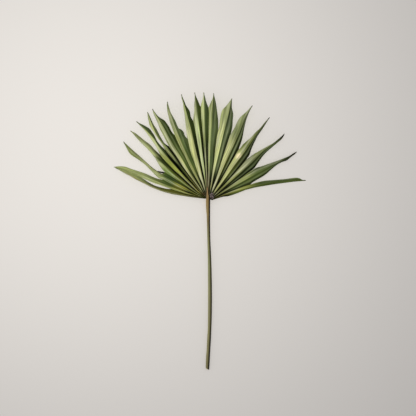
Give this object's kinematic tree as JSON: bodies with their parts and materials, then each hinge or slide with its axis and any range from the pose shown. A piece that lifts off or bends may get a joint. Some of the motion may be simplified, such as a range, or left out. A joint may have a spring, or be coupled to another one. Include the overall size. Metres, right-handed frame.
{
  "type": "fan palm leaf",
  "caption": "Dried fan palm leaf lying face up: a pleated blade of pointed segments, fused near the hub and free beyond it, on a long slender stalk, for floral and room decoration",
  "frame": {"origin": "middle of the bounding box in plan, on the surface that the leaf lies on", "axes": "+Y from the stalk's cut end towards the blade's tips, +Z out of the leaf's face and up from the surface, +X to the right as the face is seen"},
  "size_m": [0.451, 0.649, 0.0312],
  "materials": {
    "leaf_blade": "matt dried leaf, yellow-green with darker green furrows",
    "leaf_stalk": "matt dried stalk, tan at the hub and olive below"
  },
  "bodies": {
    "root": {"fan_blade": "leaf_blade", "petiole": "leaf_stalk"}
  },
  "joints": []
}
